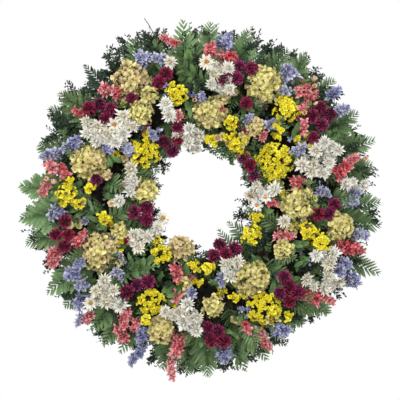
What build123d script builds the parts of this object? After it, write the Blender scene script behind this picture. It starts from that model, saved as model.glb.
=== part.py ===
from build123d import *
import math
import os

# A dried-flower wreath for a door or wall. It hangs upright and faces -Y, and the origin is
# where the nail bears inside its wire loop.
#
# Places on the wreath are given as the maker would call them out:
#   clock  degrees clockwise from the top, as the viewer sees it
#   reach  millimetres from the middle of the ring
#   depth  millimetres in front of the frame's front wires, towards the viewer

# --- driving dimensions, in millimetres and degrees ---

FRAME_OUTER = 178  # front outer wire of a 14 inch box frame
FRAME_INNER = 127
FRAME_WIRE = 1.5  # radius of the four rings' wire
TROUGH_FLOOR = -25  # depth of the cross wires' flat backs
TROUGH_OUTER = 160
TROUGH_INNER = 143
CROSS_WIRE = 1.2  # radius
CROSS_WIRES = 12
WELD = 0.3  # how far the cross wires sink into the rings

LOOP_WIRE = 0.8  # radius
LOOP_EYE = 3.2  # from the eye's middle to the middle of its wire
LOOP_HALF_WIDTH = 12
LOOP_HEIGHT = 38  # from the hinge up to the nail
RING_SAG = 0.2  # the round ring falls away a little between the two eyes

BUNCHES = 14
BUNCH_GAP = 2.4  # degrees between one bunch and the next, where the binding wire runs
STALKS_REACH = 152
STALKS_DEPTH = -4
STALKS_RADIUS = 15
BED_REACH = 170  # the leafy top of every bunch is a low mound around this reach
BED_HALF_WIDTH = 64
BED_FOOT = 8
BED_RISE = 36
BED_UNDERSIDE = 5
BINDING_WIRE = 0.6  # radius

CROWN_REACH = 172  # the flowers' faces follow a rounder mound over the bed
CROWN_HALF_WIDTH = 112
CROWN_FOOT = 36
CROWN_RISE = 44
LEAN_MOST = 32  # how far the flowers at the rims lean out

STALK_RADIUS = 1.1
STALK_BURIED = 3
ROOT_INNER = 126  # stalks are rooted between these two reaches
ROOT_OUTER = 214
BLADE_THICKNESS = 1.2

FRONT = Vector(0, -1, 0)
CENTRE = Vector(0, 0, RING_SAG - LOOP_HEIGHT - FRAME_OUTER)

# --- the planting plan ---
# Every entry is read off the wreath's face and kept by quarter, so that each quarter of each
# plant is one part.

HYDRANGEAS = [  # (clock, reach, width)
    (5, 142, 50), (29, 220, 60), (37, 150, 28), (92, 163, 60), (101, 238, 44), (121, 160, 32),
    (148, 156, 60), (174, 178, 34), (197, 229, 46), (203, 84, 40), (243, 190, 66), (249, 144, 22),
    (278, 92, 44), (289, 200, 60), (325, 176, 36), (330, 237, 60), (334, 194, 26),
]  # fmt: skip

YELLOW_STATICE = {  # (clock, reach, width)
    "top_right": [(21, 134, 26), (32, 110, 30), (43, 207, 46), (62, 133, 60)],
    "bottom_right": [
        (108.6, 95, 23), (107, 187, 30), (109.6, 214, 28), (124.5, 101, 36), (150, 213, 54),
        (174, 112, 22),
    ],
    "bottom_left": [
        (186, 108, 20), (206.4, 190, 44), (205, 221, 18), (216, 110, 32), (226, 98, 14),
        (259, 164, 22), (268, 201, 20),
    ],
    "top_left": [(272, 228, 40), (276, 186, 18), (310, 119, 50), (347.3, 180.5, 36)],
}  # fmt: skip

EVERLASTINGS = {  # (clock, reach)
    "top_right": [
        (2.2, 228), (11.4, 222.5), (6, 209), (5, 190), (14.4, 188.5), (65, 226), (70, 241), (67, 206),
        (71.5, 176), (74, 220), (78, 207), (76, 189), (76.6, 95), (85.5, 82), (87.6, 105.6), (82, 122),
        (84, 241), (85, 272),
    ],
    "bottom_right": [
        (95.8, 92.4), (105, 141), (116, 212), (112.1, 237), (116.9, 238), (121.6, 247), (120.8, 268.5),
        (126.2, 253), (127.2, 218), (160, 115), (149.5, 119), (159.5, 137),
    ],
    "bottom_left": [
        (182, 195), (187.5, 175), (191.5, 191), (188, 207), (182.2, 217), (197.5, 195), (224, 210),
        (223, 232), (217.5, 222), (227, 252), (229, 232), (230, 209), (236.3, 86), (235, 109),
        (242, 126), (233, 132), (244, 71), (269, 137),
    ],
    "top_left": [
        (276, 120), (285.5, 117), (293, 128), (304.3, 230.5), (300, 219), (298.8, 199.5), (305, 211),
        (304.8, 191), (310.9, 190), (303.4, 171), (310, 168.5), (316.7, 189.4), (316.8, 165.3),
        (339.5, 168.5), (339, 148.4), (350, 118.6), (358, 106), (348, 98), (347, 234),
    ],
}  # fmt: skip

AMARANTHS = {  # (clock, reach)
    "top_right": [
        (16.4, 211), (11, 203), (20.8, 235), (15.8, 231.5), (25, 176), (53, 231), (52.3, 252), (56.6, 257),
        (58.3, 237), (61, 213), (44.4, 97), (54.9, 97), (65.2, 93.5),
    ],
    "bottom_right": [
        (92, 222), (96.4, 213), (97.2, 195.5), (133, 188), (134.7, 206), (133.8, 224), (139.2, 225),
        (140, 203.5), (146, 96), (158.4, 78), (156.2, 97), (167.5, 93), (172.8, 222), (170.8, 240),
        (176, 236), (177.4, 213),
    ],
    "bottom_left": [
        (213, 162), (217, 177), (219, 197), (251, 243), (250, 95), (259.4, 113), (260.8, 90),
        (256.4, 251), (255, 230), (261, 231),
    ],
    "top_left": [
        (280.5, 178), (310, 208.5), (315, 214), (309, 242), (313, 233), (325.5, 205), (326.8, 113),
        (339, 106), (328.9, 91.5), (341.8, 124.3), (340, 207), (344.2, 217.2),
    ],
}  # fmt: skip

CORAL_LARKSPUR = {  # (clock, reach) of the lower end, then of the tip, then the thickness
    "top_right": [
        (3.5, 241, 3.5, 259, 15), (8.4, 236, 13.4, 246, 18), (41.5, 240, 44.5, 256, 14),
        (46.8, 243, 46.8, 262, 11), (47.8, 223, 47.8, 238, 9), (57, 200, 53, 214, 9),
        (80, 226, 76, 252, 17), (75, 256, 75, 270, 10), (79, 152, 80, 172, 12),
        (44.6, 141, 43.6, 152, 9),
    ],
    "bottom_right": [
        (92.8, 113, 93.4, 126, 8), (109, 238, 107, 286, 16), (115, 136, 112, 164, 11),
        (131.2, 234, 130.4, 258, 23), (128.5, 262, 128, 280, 9), (157, 240, 155, 274, 14),
        (161, 218, 160, 234, 9),
    ],
    "bottom_left": [
        (189, 228, 190, 268, 19), (191, 274, 189, 304, 10), (201, 118, 196, 140, 15),
        (195, 162, 194, 174, 12), (214, 224, 212, 246, 15), (207.5, 228, 207.5, 244, 11),
        (213, 252, 208, 268, 15), (224, 268, 224, 284, 11), (255, 201, 250, 221, 14),
        (251, 258, 246, 272, 18),
    ],
    "top_left": [
        (271.5, 268, 276, 256, 12), (279.5, 230, 283.5, 242, 14), (281, 248, 284, 262, 14),
        (305.4, 246, 304.8, 258, 9), (322.5, 220, 317.5, 250, 18), (345, 138, 345, 150, 10),
        (346, 280, 351, 262, 10),
    ],
}  # fmt: skip

BLUE_LARKSPUR = {  # the same again
    "top_right": [
        (0.2, 163, 0.6, 176, 9), (32, 261, 37, 251, 22), (37, 222, 38.5, 234, 14),
        (42, 162, 43, 176, 11), (29.6, 150, 30.6, 162, 10), (7.5, 260, 10, 276, 19),
        (51.2, 276, 51.2, 296, 13), (57, 268, 58, 290, 14), (64, 170, 63, 192, 13),
        (85, 194, 88, 212, 13), (87, 248, 88, 264, 13),
    ],
    "bottom_right": [
        (91, 240, 91.5, 258, 13), (103, 262, 102, 284, 13), (114, 252, 114, 270, 13),
        (117.3, 252, 117.8, 266, 11), (118.8, 274, 118, 298, 20), (151, 246, 146, 264, 17),
        (172, 252, 171, 270, 20), (167, 130, 167, 146, 10),
    ],
    "bottom_left": [
        (186, 150, 186, 164, 12), (205, 234, 203, 254, 17), (202, 260, 202, 282, 13),
        (203, 288, 203.5, 300, 11), (231, 256, 229, 276, 14), (226.3, 278, 224.8, 296, 8),
        (229, 180, 230, 192, 10), (234, 236, 235, 252, 14), (240, 238, 240.5, 258, 18),
        (242, 222, 243, 234, 12), (267, 236, 263, 252, 18),
    ],
    "top_left": [
        (296, 224, 290, 246, 16), (288.2, 248, 284.8, 276, 16), (297.8, 182, 298.6, 168, 10),
        (303, 158, 306, 142, 12), (323, 128, 323, 144, 10), (336, 260, 339, 250, 18),
        (341, 250, 345, 240, 15),
    ],
}  # fmt: skip

BUDS = [  # (clock, reach) of the peach and cream buds
    (39.8, 263), (43.4, 275), (44.6, 267), (49.3, 247.5), (76.2, 282), (280.3, 268), (278, 259),
    (276.8, 246),
    (355, 164), (50, 222), (59, 200),
]  # fmt: skip

FERN_FRONDS = {  # clock at the root, clock and reach of the tip, width
    "top_right": [
        (3, 3, 296, 30), (16, 15.5, 292, 36), (27, 30, 288, 32), (38, 36, 300, 30),
        (48, 48, 302, 32), (62, 61, 298, 34), (71, 71, 305, 34), (82, 78.5, 290, 28),
    ],
    "bottom_right": [
        (94, 91, 298, 32), (101, 98, 302, 32), (113, 112.5, 305, 36), (132, 132, 284, 34),
        (143, 141, 268, 30), (161, 158, 288, 32), (168, 166, 294, 34), (178, 178, 302, 28),
    ],
    "bottom_left": [
        (186, 184.5, 292, 32), (193, 193, 290, 28), (215, 216, 284, 36), (222, 221, 272, 30),
        (233, 232, 292, 32), (240, 239, 300, 34), (257, 256, 302, 30), (265, 264, 303, 34),
    ],
    "top_left": [
        (272, 274.5, 305, 34), (288, 288.5, 303, 30), (300, 301, 298, 34), (307, 307, 296, 34),
        (319, 319, 300, 34), (335, 336, 292, 28), (342, 341, 298, 28), (353, 354, 300, 34),
    ],
}  # fmt: skip

FACE_LEAVES = [  # clock and reach of the root, then of the tip, then the width
    (18, 192, 17.5, 156, 20), (354, 198, 351.5, 244, 24), (334, 150, 335, 122, 18),
    (119, 186, 119, 214, 15), (228.5, 158, 229.4, 119, 14), (223, 160, 214, 134, 16),
    (235, 158, 240, 140, 14), (255, 170, 255, 128, 22), (264, 182, 264, 204, 16),
    (143, 136, 138, 98, 16), (274, 168, 276, 148, 14), (166, 196, 166, 242, 22),
]  # fmt: skip

DARK_SPRAYS_OUTER = 36
DARK_SPRAYS_INNER = 18
DARK_TIPS_OUTER = (303, 286, 296, 280, 300, 290)  # reaches, taken in turn
DARK_TIPS_INNER = (77, 82, 79)

QUARTERS = ("top_right", "bottom_right", "bottom_left", "top_left")


# --- places and directions ---


def outward(clock):
    """The direction straight out from the ring's centre at a clock angle."""
    angle = math.radians(clock)
    return Vector(math.sin(angle), 0, math.cos(angle))


def spot(clock, reach, depth):
    """The point at a clock angle, reach and depth."""
    return CENTRE + outward(clock) * reach + FRONT * depth


def mound(reach, middle, half_width, foot, rise):
    """Depth of a rounded ring-shaped mound at a reach."""
    across = (reach - middle) / half_width
    return foot + rise * math.sqrt(max(0, 1 - across**2))


def bed(reach):
    """Depth of the leafy bed that the stalks stand in."""
    return mound(reach, BED_REACH, BED_HALF_WIDTH, BED_FOOT, BED_RISE)


def crown(reach):
    """Depth of the flowers' faces."""
    return mound(reach, CROWN_REACH, CROWN_HALF_WIDTH, CROWN_FOOT, CROWN_RISE)


def facing(clock, reach, proud=0):
    """The plane of a flower's face: its normal leans out of the mound, and its x runs outward."""
    share = max(-1, min(1, (reach - CROWN_REACH) / CROWN_HALF_WIDTH))
    lean = math.radians(LEAN_MOST * share)
    normal = FRONT * math.cos(lean) + outward(clock) * math.sin(lean)
    along = outward(clock) * math.cos(lean) - FRONT * math.sin(lean)
    face = spot(clock, reach, crown(reach)) + normal * proud
    return Plane(origin=face, x_dir=along, z_dir=normal)


def radial_plane(clock):
    """A plane through the wreath's axis: its x is the reach and its y is the depth."""
    along_ring = outward(clock).cross(FRONT)
    return Plane(origin=CENTRE, x_dir=outward(clock), z_dir=along_ring)


# --- shapes that repeat; each one joins the part whose block calls it ---


def foot_of(clock, reach):
    """Where a flower's stalk is rooted, in the nearest part of the bed."""
    foot_reach = max(ROOT_INNER, min(ROOT_OUTER, reach))
    return spot(clock, foot_reach, bed(foot_reach) - STALK_BURIED)


def stalk(foot, top):
    """A flower's straight stalk."""
    run = top - foot
    with Locations(Plane(origin=foot, z_dir=run).location):
        Cylinder(STALK_RADIUS, run.length, align=(Align.CENTER, Align.CENTER, Align.MIN))


def domed_head(clock, reach, width, dome_from, cup_height, cup_foot, proud):
    """A cup that opens from the stalk, closed by a dome that starts at latitude dome_from."""
    radius = width / 2
    sphere_radius = radius / math.cos(math.radians(dome_from))
    dome_height = sphere_radius * (1 - math.sin(math.radians(dome_from)))
    face = facing(clock, reach, proud)
    with Locations(face.location):
        Sphere(
            sphere_radius,
            arc_size1=dome_from,
            align=(Align.CENTER, Align.CENTER, Align.MAX),
        )
    with Locations(face.offset(-dome_height).location):
        Cone(
            cup_foot,
            radius,
            cup_height,
            align=(Align.CENTER, Align.CENTER, Align.MAX),
        )
    stalk(foot_of(clock, reach), face.offset(1 - dome_height - cup_height).origin)


def ovoid(middle, direction, side, width, length):
    """An egg shape around a middle point, long along one direction."""
    section = Plane(origin=middle, x_dir=side, z_dir=side.cross(direction))
    with BuildSketch(section) as half:
        Ellipse(width / 2, length / 2)
        Rectangle(width, length, align=(Align.MIN, Align.CENTER), mode=Mode.INTERSECT)
    revolve(half.sketch, axis=Axis(middle, direction))


def spindle(lower, direction, side, width, length):
    """A blunt spindle from its lower end along a direction, widest below its middle."""
    radius = width / 2
    with BuildSketch(Plane(origin=lower, x_dir=side, z_dir=side.cross(direction))) as half:
        with BuildLine():
            Polyline(
                (0, 0),
                (0.4 * radius, 0),
                (radius, 0.3 * length),
                (radius, 0.6 * length),
                (0.25 * radius, length),
                (0, length),
                close=True,
            )
        make_face()
    revolve(half.sketch, axis=Axis(lower, direction))


def spike(lower_clock, lower_reach, tip_clock, tip_reach, thickness):
    """A larkspur spike that lies over the mound, held by a stalk under its lower half."""
    lower = spot(lower_clock, lower_reach, crown(lower_reach) - thickness / 2)
    tip = spot(tip_clock, tip_reach, crown(tip_reach) - thickness / 2)
    run = tip - lower
    direction = run.normalized()
    held = lower + run * 0.4
    clock = lower_clock * 0.6 + tip_clock * 0.4
    foot = foot_of(clock, (held - CENTRE).dot(outward(clock)))
    beside = foot - held
    under = (beside - direction * beside.dot(direction)).normalized()
    spindle(lower, direction, under, thickness, run.length)
    stalk(foot, held)


def blade(root, tip, width):
    """A flat pointed leaf or frond outline from root to tip, facing the viewer."""
    run = tip - root
    along = run.normalized()
    normal = (FRONT - along * FRONT.dot(along)).normalized()
    with BuildSketch(Plane(origin=root, x_dir=along, z_dir=normal)) as outline:
        with BuildLine():
            ThreePointArc((0, 0), (run.length * 0.5, width / 2), (run.length, 0))
            ThreePointArc((run.length, 0), (run.length * 0.5, -width / 2), (0, 0))
        make_face()
    extrude(outline.sketch, amount=BLADE_THICKNESS / 2, both=True)


def frame_ring(reach, depth):
    """One welded ring of the frame."""
    with Locations(Plane(origin=spot(0, 0, depth), z_dir=FRONT).location):
        Torus(reach, FRAME_WIRE)


# --- the box wire frame ---

os.makedirs("parts", exist_ok=True)

WELDED = CROSS_WIRE + FRAME_WIRE - WELD
SLOPE_OUTER = math.atan2(-TROUGH_FLOOR, FRAME_OUTER - TROUGH_OUTER)
SLOPE_INNER = math.atan2(-TROUGH_FLOOR, TROUGH_INNER - FRAME_INNER)
BACK_OUTER = TROUGH_OUTER - WELDED * math.tan((math.pi / 2 - SLOPE_OUTER) / 2) - 0.4
BACK_INNER = TROUGH_INNER + WELDED * math.tan((math.pi / 2 - SLOPE_INNER) / 2) + 0.4
BACK_DEPTH = TROUGH_FLOOR + WELDED

with BuildPart() as frame_ring_outer:
    frame_ring(FRAME_OUTER, 0)
frame_ring_outer.part.label = "frame_ring_outer"
export_step(frame_ring_outer.part, "parts/frame_ring_outer.step")

with BuildPart() as frame_ring_inner:
    frame_ring(FRAME_INNER, 0)
frame_ring_inner.part.label = "frame_ring_inner"
export_step(frame_ring_inner.part, "parts/frame_ring_inner.step")

with BuildPart() as frame_ring_back_outer:
    frame_ring(BACK_OUTER, BACK_DEPTH)
frame_ring_back_outer.part.label = "frame_ring_back_outer"
export_step(frame_ring_back_outer.part, "parts/frame_ring_back_outer.step")

with BuildPart() as frame_ring_back_inner:
    frame_ring(BACK_INNER, BACK_DEPTH)
frame_ring_back_inner.part.label = "frame_ring_back_inner"
export_step(frame_ring_back_inner.part, "parts/frame_ring_back_inner.step")

with BuildPart() as frame_cross_wires:
    for number in range(CROSS_WIRES):
        across = radial_plane((number + 0.5) * 360 / CROSS_WIRES)
        sunk = FRAME_WIRE - WELD
        with BuildLine(across) as bend:
            Polyline(
                (FRAME_OUTER - sunk * math.cos(SLOPE_OUTER), -sunk * math.sin(SLOPE_OUTER)),
                (TROUGH_OUTER, TROUGH_FLOOR),
                (TROUGH_INNER, TROUGH_FLOOR),
                (FRAME_INNER + sunk * math.cos(SLOPE_INNER), -sunk * math.sin(SLOPE_INNER)),
            )
        with BuildSketch(Plane(origin=bend.line @ 0, z_dir=bend.line % 0)):
            Circle(CROSS_WIRE)
        sweep(path=bend.line, transition=Transition.ROUND)
frame_cross_wires.part.label = "frame_cross_wires"
export_step(frame_cross_wires.part, "parts/frame_cross_wires.step")

# --- the hanging loop: two eyes round the outer ring and a bail between them ---

HINGE = Vector(0, 0, -LOOP_HEIGHT)
BIGHT = LOOP_WIRE - LOOP_HALF_WIDTH

with BuildPart() as hanging_loop:
    with BuildLine(Plane.XZ) as bail:
        Line((-LOOP_HALF_WIDTH, LOOP_EYE - LOOP_HEIGHT), (-LOOP_HALF_WIDTH, BIGHT))
        ThreePointArc((-LOOP_HALF_WIDTH, BIGHT), (0, LOOP_WIRE), (LOOP_HALF_WIDTH, BIGHT))
        Line((LOOP_HALF_WIDTH, BIGHT), (LOOP_HALF_WIDTH, LOOP_EYE - LOOP_HEIGHT))
    with BuildSketch(Plane(origin=bail.line @ 0, z_dir=bail.line % 0)):
        Circle(LOOP_WIRE)
    sweep(path=bail.line)
    for side in (-1, 1):
        eye = Plane(origin=HINGE + Vector(side * LOOP_HALF_WIDTH, 0, 0), z_dir=(1, 0, 0))
        with Locations(eye.location):
            Torus(LOOP_EYE, LOOP_WIRE)
hanging_loop.part.label = "hanging_loop"
export_step(hanging_loop.part, "parts/hanging_loop.step")

# --- the bunches of greens bound along the frame, and the wire that binds them ---

with BuildPart() as foliage_bunches:
    for number in range(BUNCHES):
        first = (number - 0.5) * 360 / BUNCHES + BUNCH_GAP / 2
        with BuildSketch(radial_plane(first)):
            with Locations((BED_REACH, BED_FOOT)):
                Ellipse(BED_HALF_WIDTH, BED_RISE)
            with Locations((BED_REACH, BED_UNDERSIDE)):
                Rectangle(
                    2 * BED_HALF_WIDTH,
                    2 * BED_RISE,
                    align=(Align.CENTER, Align.MIN),
                    mode=Mode.INTERSECT,
                )
            with Locations((STALKS_REACH, STALKS_DEPTH)):
                Circle(STALKS_RADIUS)
        revolve(axis=Axis(CENTRE, -FRONT), revolution_arc=360 / BUNCHES - BUNCH_GAP)
foliage_bunches.part.label = "foliage_bunches"
export_step(foliage_bunches.part, "parts/foliage_bunches.step")

with BuildPart() as binding_wires:
    for number in range(BUNCHES):
        with BuildLine(radial_plane((number + 0.5) * 360 / BUNCHES)) as turn:
            Polyline(
                (FRAME_OUTER + 4.5, 1),
                (STALKS_REACH + 14, 15),
                (STALKS_REACH - 14, 15),
                (FRAME_INNER - 4.5, 1),
                (TROUGH_INNER - 3, TROUGH_FLOOR - 3.6),
                (TROUGH_OUTER + 3, TROUGH_FLOOR - 3.6),
                close=True,
            )
            fillet(turn.vertices(), 2.5)
        with BuildSketch(Plane(origin=turn.line @ 0, z_dir=turn.line % 0)):
            Circle(BINDING_WIRE)
        sweep(path=turn.line)
binding_wires.part.label = "binding_wires"
export_step(binding_wires.part, "parts/binding_wires.step")

# --- dark fine-leaved sprays round both rims ---

for quarter, name in enumerate(QUARTERS):
    with BuildPart() as dark_sprays:
        for number in range(DARK_SPRAYS_OUTER // 4):
            clock = quarter * 90 + (number + 0.5) * 360 / DARK_SPRAYS_OUTER
            tip_reach = DARK_TIPS_OUTER[number % len(DARK_TIPS_OUTER)]
            blade(spot(clock, ROOT_OUTER, 8), spot(clock, tip_reach, 3), 32)
    dark_sprays.part.label = f"dark_sprays_{name}"
    export_step(dark_sprays.part, f"parts/dark_sprays_{name}.step")

with BuildPart() as dark_sprays_inner:
    for number in range(DARK_SPRAYS_INNER):
        clock = (number + 0.5) * 360 / DARK_SPRAYS_INNER
        tip_reach = DARK_TIPS_INNER[number % len(DARK_TIPS_INNER)]
        blade(spot(clock, ROOT_INNER, 8), spot(clock, tip_reach, 6), 20)
dark_sprays_inner.part.label = "dark_sprays_inner"
export_step(dark_sprays_inner.part, "parts/dark_sprays_inner.step")

# --- fern fronds, on two levels so that neighbours clear each other ---

for name in QUARTERS:
    with BuildPart() as fern_fronds:
        for number, (root_clock, tip_clock, tip_reach, width) in enumerate(FERN_FRONDS[name]):
            level = 13 + 6 * (number % 2)
            root = spot(root_clock, ROOT_OUTER, level)
            blade(root, spot(tip_clock, tip_reach, level - 1), width)
    fern_fronds.part.label = f"fern_fronds_{name}"
    export_step(fern_fronds.part, f"parts/fern_fronds_{name}.step")

with BuildPart() as face_leaves:
    for root_clock, root_reach, tip_clock, tip_reach, width in FACE_LEAVES:
        root = spot(root_clock, root_reach, bed(root_reach) - STALK_BURIED)
        blade(root, spot(tip_clock, tip_reach, bed(tip_reach) + 12), width)
face_leaves.part.label = "face_leaves"
export_step(face_leaves.part, "parts/face_leaves.step")

# --- flower heads ---

for number, (clock, reach, width) in enumerate(HYDRANGEAS, start=1):
    with BuildPart() as hydrangea_head:
        domed_head(clock, reach, 0.9 * width, 8, 0.16 * width, 0.25 * width, proud=4)
    hydrangea_head.part.label = f"hydrangea_head_{number:02}"
    export_step(hydrangea_head.part, f"parts/hydrangea_head_{number:02}.step")

for name in QUARTERS:
    with BuildPart() as yellow_statice:
        for clock, reach, width in YELLOW_STATICE[name]:
            domed_head(clock, reach, 0.9 * width, 40, 0.25 * width, 2, proud=2)
    yellow_statice.part.label = f"yellow_statice_{name}"
    export_step(yellow_statice.part, f"parts/yellow_statice_{name}.step")

    with BuildPart() as everlastings:
        for clock, reach in EVERLASTINGS[name]:
            domed_head(clock, reach, 19, 40, 4, 2, proud=4)
    everlastings.part.label = f"everlastings_{name}"
    export_step(everlastings.part, f"parts/everlastings_{name}.step")

    with BuildPart() as globe_amaranths:
        for clock, reach in AMARANTHS[name]:
            face = facing(clock, reach, proud=-6)
            ovoid(face.origin, face.z_dir, face.x_dir, 16, 19)
            stalk(foot_of(clock, reach), face.offset(-9).origin)
    globe_amaranths.part.label = f"globe_amaranths_{name}"
    export_step(globe_amaranths.part, f"parts/globe_amaranths_{name}.step")

    with BuildPart() as coral_larkspur:
        for ends_and_thickness in CORAL_LARKSPUR[name]:
            spike(*ends_and_thickness)
    coral_larkspur.part.label = f"coral_larkspur_{name}"
    export_step(coral_larkspur.part, f"parts/coral_larkspur_{name}.step")

    with BuildPart() as blue_larkspur:
        for ends_and_thickness in BLUE_LARKSPUR[name]:
            spike(*ends_and_thickness)
    blue_larkspur.part.label = f"blue_larkspur_{name}"
    export_step(blue_larkspur.part, f"parts/blue_larkspur_{name}.step")

with BuildPart() as larkspur_buds:
    for clock, reach in BUDS:
        face = facing(clock, reach, proud=-4)
        ovoid(face.origin, face.z_dir, face.x_dir, 9, 12)
        stalk(foot_of(clock, reach), face.offset(-5).origin)
larkspur_buds.part.label = "larkspur_buds"
export_step(larkspur_buds.part, "parts/larkspur_buds.step")
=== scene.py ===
import math

import bpy
import numpy as np
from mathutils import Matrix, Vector


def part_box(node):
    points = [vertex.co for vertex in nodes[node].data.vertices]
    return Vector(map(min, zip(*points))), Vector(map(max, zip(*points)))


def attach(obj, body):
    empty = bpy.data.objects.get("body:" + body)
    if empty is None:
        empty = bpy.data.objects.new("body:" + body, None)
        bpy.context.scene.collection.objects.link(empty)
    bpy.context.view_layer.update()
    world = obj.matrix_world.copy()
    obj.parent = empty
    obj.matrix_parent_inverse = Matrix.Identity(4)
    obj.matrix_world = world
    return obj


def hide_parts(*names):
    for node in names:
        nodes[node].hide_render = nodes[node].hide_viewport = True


# The looks of the dried-flower wreath. Every flower, frond, spray and bunch of greens is built
# around the CAD solid it stands for, so its place, lean and size are measured from that solid.
# Shapes are made in millimetres and turned into metres when their mesh is written.
#
# Places are given as clock (degrees clockwise from the top as the viewer sees it), reach
# (millimetres from the ring's centre) and depth (millimetres in front of the front wires).

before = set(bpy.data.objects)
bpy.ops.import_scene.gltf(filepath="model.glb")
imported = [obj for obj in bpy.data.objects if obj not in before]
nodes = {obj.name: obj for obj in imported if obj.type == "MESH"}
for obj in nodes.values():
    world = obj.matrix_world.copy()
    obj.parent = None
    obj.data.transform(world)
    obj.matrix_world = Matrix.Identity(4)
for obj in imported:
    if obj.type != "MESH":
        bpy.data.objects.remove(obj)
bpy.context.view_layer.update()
rng = np.random.default_rng(610)

MM = 0.001
FRONT = np.array([0.0, -1.0, 0.0])
GOLDEN_ANGLE = math.pi * (3 - math.sqrt(5))
QUARTERS = ("top_right", "bottom_right", "bottom_left", "top_left")

ring_low, ring_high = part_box("frame_ring_outer")
CENTRE = (np.array(ring_low) + np.array(ring_high)) / 2 / MM

CROWN_REACH = 172  # where the flowers face straight to the front
CROWN_HALF_WIDTH = 112
LEAN_MOST = 32  # degrees that the flowers at the rims lean out
CROWN_FOOT = 36  # depth of the flowers' faces at the rims
CROWN_RISE = 44  # and how much further forward they are between them


# --- measuring the CAD model ---


def solids_of(node):
    """The points of each separate solid of a CAD node, going clockwise round the wreath."""
    mesh = nodes[node].data
    flat = np.zeros(len(mesh.vertices) * 3)
    mesh.vertices.foreach_get("co", flat)
    corners = np.zeros(len(mesh.edges) * 2, dtype=int)
    mesh.edges.foreach_get("vertices", corners)
    welded, index = np.unique(np.round(flat.reshape(-1, 3), 6), axis=0, return_inverse=True)
    ends = index.reshape(-1)[corners].reshape(-1, 2)
    label = np.arange(len(welded))
    while True:
        lowest = np.minimum(label[ends[:, 0]], label[ends[:, 1]])
        spread = label.copy()
        np.minimum.at(spread, ends[:, 0], lowest)
        np.minimum.at(spread, ends[:, 1], lowest)
        spread = spread[spread]
        if np.array_equal(spread, label):
            break
        label = spread
    found = [welded[label == value] / MM for value in np.unique(label)]
    return sorted(found, key=lambda points: clock_of(points.mean(axis=0)))


def outward(clock):
    angle = np.radians(clock)
    return np.stack([np.sin(angle), np.zeros_like(angle), np.cos(angle)], axis=-1)


def spot(clock, reach, depth):
    clock, reach, depth = np.broadcast_arrays(*(np.asarray(v, float) for v in (clock, reach, depth)))
    return CENTRE + outward(clock) * reach[..., None] + FRONT * depth[..., None]


def clock_of(point):
    place = np.asarray(point) - CENTRE
    return np.degrees(np.arctan2(place[..., 0], place[..., 2])) % 360


def reach_of(point):
    place = np.asarray(point) - CENTRE
    return np.hypot(place[..., 0], place[..., 2])


def depth_of(point):
    return CENTRE[1] - np.asarray(point)[..., 1]


def clock_gap(clock, other):
    """How far one clock is past another, the short way round."""
    return (clock - other + 180) % 360 - 180


def within(value, ends):
    """Whether a clock or a reach is between two others."""
    return ends[0] < value < ends[1]


def stands_at(top, places, slack):
    """Whether a point is within some millimetres of one of the places, given as clock and reach."""
    return any(np.linalg.norm(spot(clock, reach, depth_of(top)) - top) < slack for clock, reach in places)


# clock and reach of the outline of the greens, which is not quite round
RIM = (
    (0, 292), (12, 298), (36, 298), (50, 294), (70, 302), (90, 296), (108, 305), (120, 290), (150, 286),
    (166, 292), (176, 290), (190, 300), (200, 290), (214, 298), (226, 282), (232, 286), (240, 300),
    (247, 296), (258, 306), (278, 298), (289, 282), (308, 298), (320, 294), (336, 303), (360, 295),
)


def rim(clock):
    return np.interp(clock, *zip(*RIM))


def unit(vectors):
    vectors = np.asarray(vectors, float)
    return vectors / np.maximum(np.linalg.norm(vectors, axis=-1, keepdims=True), 1e-9)


bed_points = np.concatenate(solids_of("foliage_bunches"))
bed_steps = np.arange(100, 240, 4)
bed_depths = [
    depth_of(bed_points)[np.abs(reach_of(bed_points) - step) < 6].max(initial=5) for step in bed_steps
]


def bed(reach):
    """Depth of the leafy bed's surface at a reach."""
    return np.interp(reach, bed_steps, bed_depths)


def crown(reach):
    """Depth of the flowers' faces at a reach."""
    across = (reach - CROWN_REACH) / CROWN_HALF_WIDTH
    return CROWN_FOOT + CROWN_RISE * np.sqrt(np.maximum(0, 1 - across**2))


def foot_of(points):
    """Foot of a stalk: the end of a solid that is nearest to the middle of the bed."""
    distance = depth_of(points) + 0.8 * np.abs(reach_of(points) - CROWN_REACH)
    return points[distance < distance.min() + 3].mean(axis=0)


def head_of(points):
    """Foot of the stalk, top of the head, the way it faces, and its radius."""
    foot = foot_of(points)
    far = points[np.argsort(np.linalg.norm(points - foot, axis=1))[-len(points) // 3 :]]
    share = np.clip((reach_of(far.mean(axis=0)) - CROWN_REACH) / CROWN_HALF_WIDTH, -1, 1)
    lean = np.radians(LEAN_MOST * share)
    face = FRONT * np.cos(lean) + outward(clock_of(far.mean(axis=0))) * np.sin(lean)
    top = points[np.argmax(points @ face)]
    stalk_line = unit(top - foot)
    off_stalk = (points - foot) - np.outer((points - foot) @ stalk_line, stalk_line)
    head = points[np.linalg.norm(off_stalk, axis=1) > 2]
    from_axis = (head - top) - np.outer((head - top) @ face, face)
    return foot, top, face, np.linalg.norm(from_axis, axis=1).max()


def long_ends(points):
    """Both ends and the width of a solid that is long one way."""
    middle = points.mean(axis=0)
    axes = np.linalg.svd(points - middle, full_matrices=False)[2]
    along = (points - middle) @ axes[0]
    across = (points - middle) @ axes[1]
    middle = middle + axes[1] * (across.max() + across.min()) / 2
    return middle + axes[0] * along.min(), middle + axes[0] * along.max(), np.ptp(across)


def planted(plant):
    """Node, ending of the piece's name, and points of each solid of a plant kept in quarters."""
    for quarter in QUARTERS:
        node = f"{plant}_{quarter}"
        for number, points in enumerate(solids_of(node), start=1):
            yield node, f"{quarter}_{number:02}", points


# --- shapes: points, four-cornered faces and marks ---
#
# A mark has three numbers that the materials read: how far along the petal or leaf from its
# root, how far across from its middle line, and the tint that its whole petal or flower has.


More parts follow.
